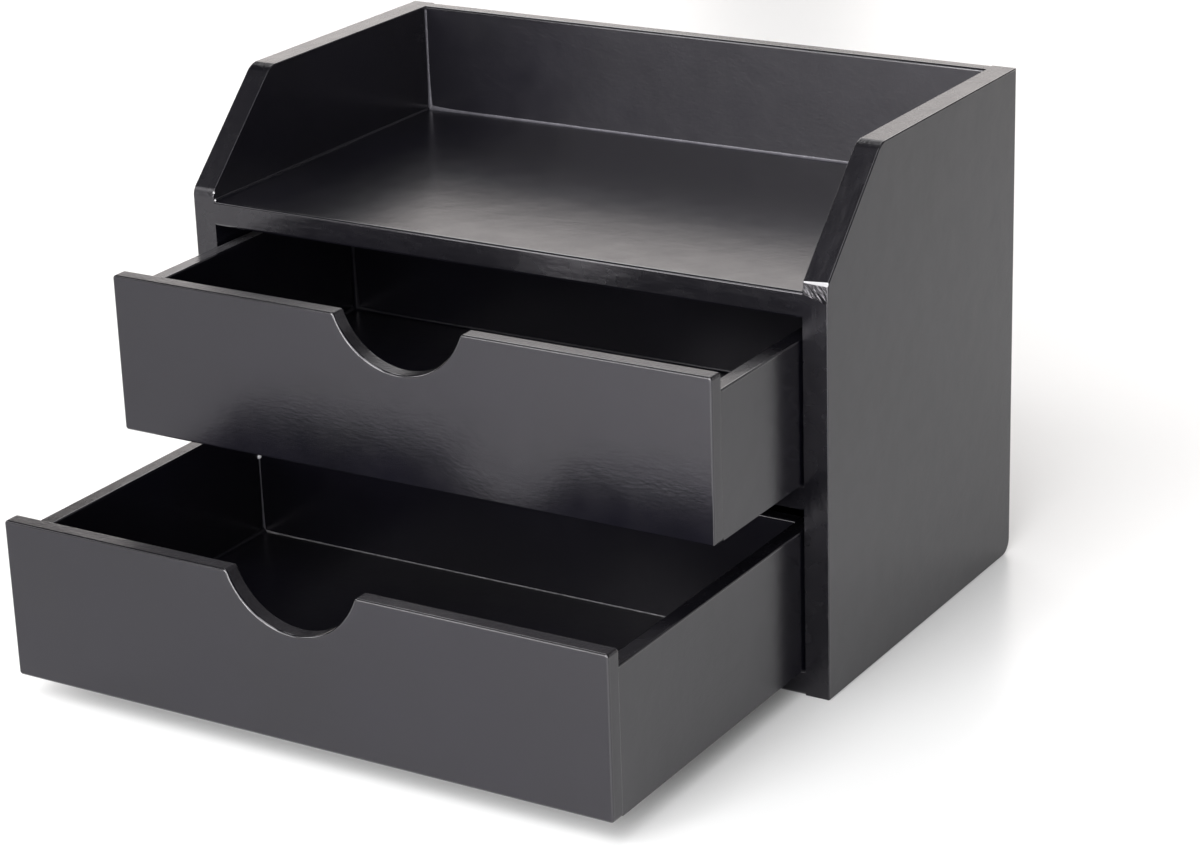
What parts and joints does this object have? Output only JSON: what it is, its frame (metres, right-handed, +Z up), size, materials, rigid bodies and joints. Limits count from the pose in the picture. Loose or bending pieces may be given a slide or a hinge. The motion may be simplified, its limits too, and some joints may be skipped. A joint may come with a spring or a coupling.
{
  "type": "desktop organizer with drawers",
  "caption": "Low desktop organizer: an open tray with clipped side walls on top of stacked drawers, each front with a round finger notch, in black satin lacquer.",
  "frame": {"origin": "middle of the case's rectangular footprint, on the surface that it stands on", "axes": "+X to the right seen from the front, +Y to the back, +Z up; the drawers slide out along -Y"},
  "size_m": [0.25, 0.2645, 0.18],
  "materials": {
    "black_lacquer": "black satin lacquer sprayed on fibreboard",
    "beech": "bare turned beech, hidden in the joints",
    "steel": "plain bright wire brad, hidden in the joints"
  },
  "bodies": {
    "case": {"left_side_panel": "black_lacquer", "right_side_panel": "black_lacquer", "back_panel": "black_lacquer", "tray_board": "black_lacquer", "divider_board": "black_lacquer", "base_board": "black_lacquer", "tray_dowels": "beech", "divider_dowels": "beech", "base_dowels": "beech", "back_panel_brads": "steel"},
    "upper_drawer": {"upper_drawer_front": "black_lacquer", "upper_drawer_left_side": "black_lacquer", "upper_drawer_right_side": "black_lacquer", "upper_drawer_back": "black_lacquer", "upper_drawer_bottom": "black_lacquer", "upper_drawer_brads": "steel"},
    "lower_drawer": {"lower_drawer_front": "black_lacquer", "lower_drawer_left_side": "black_lacquer", "lower_drawer_right_side": "black_lacquer", "lower_drawer_back": "black_lacquer", "lower_drawer_bottom": "black_lacquer", "lower_drawer_brads": "steel"}
  },
  "joints": [
    {"name": "upper_drawer_slide", "type": "slide", "parent": "case", "child": "upper_drawer", "axis": [0, -1, 0], "range_m": [-0.058, 0.07]},
    {"name": "lower_drawer_slide", "type": "slide", "parent": "case", "child": "lower_drawer", "axis": [0, -1, 0], "range_m": [-0.1225, 0.0055]}
  ]
}
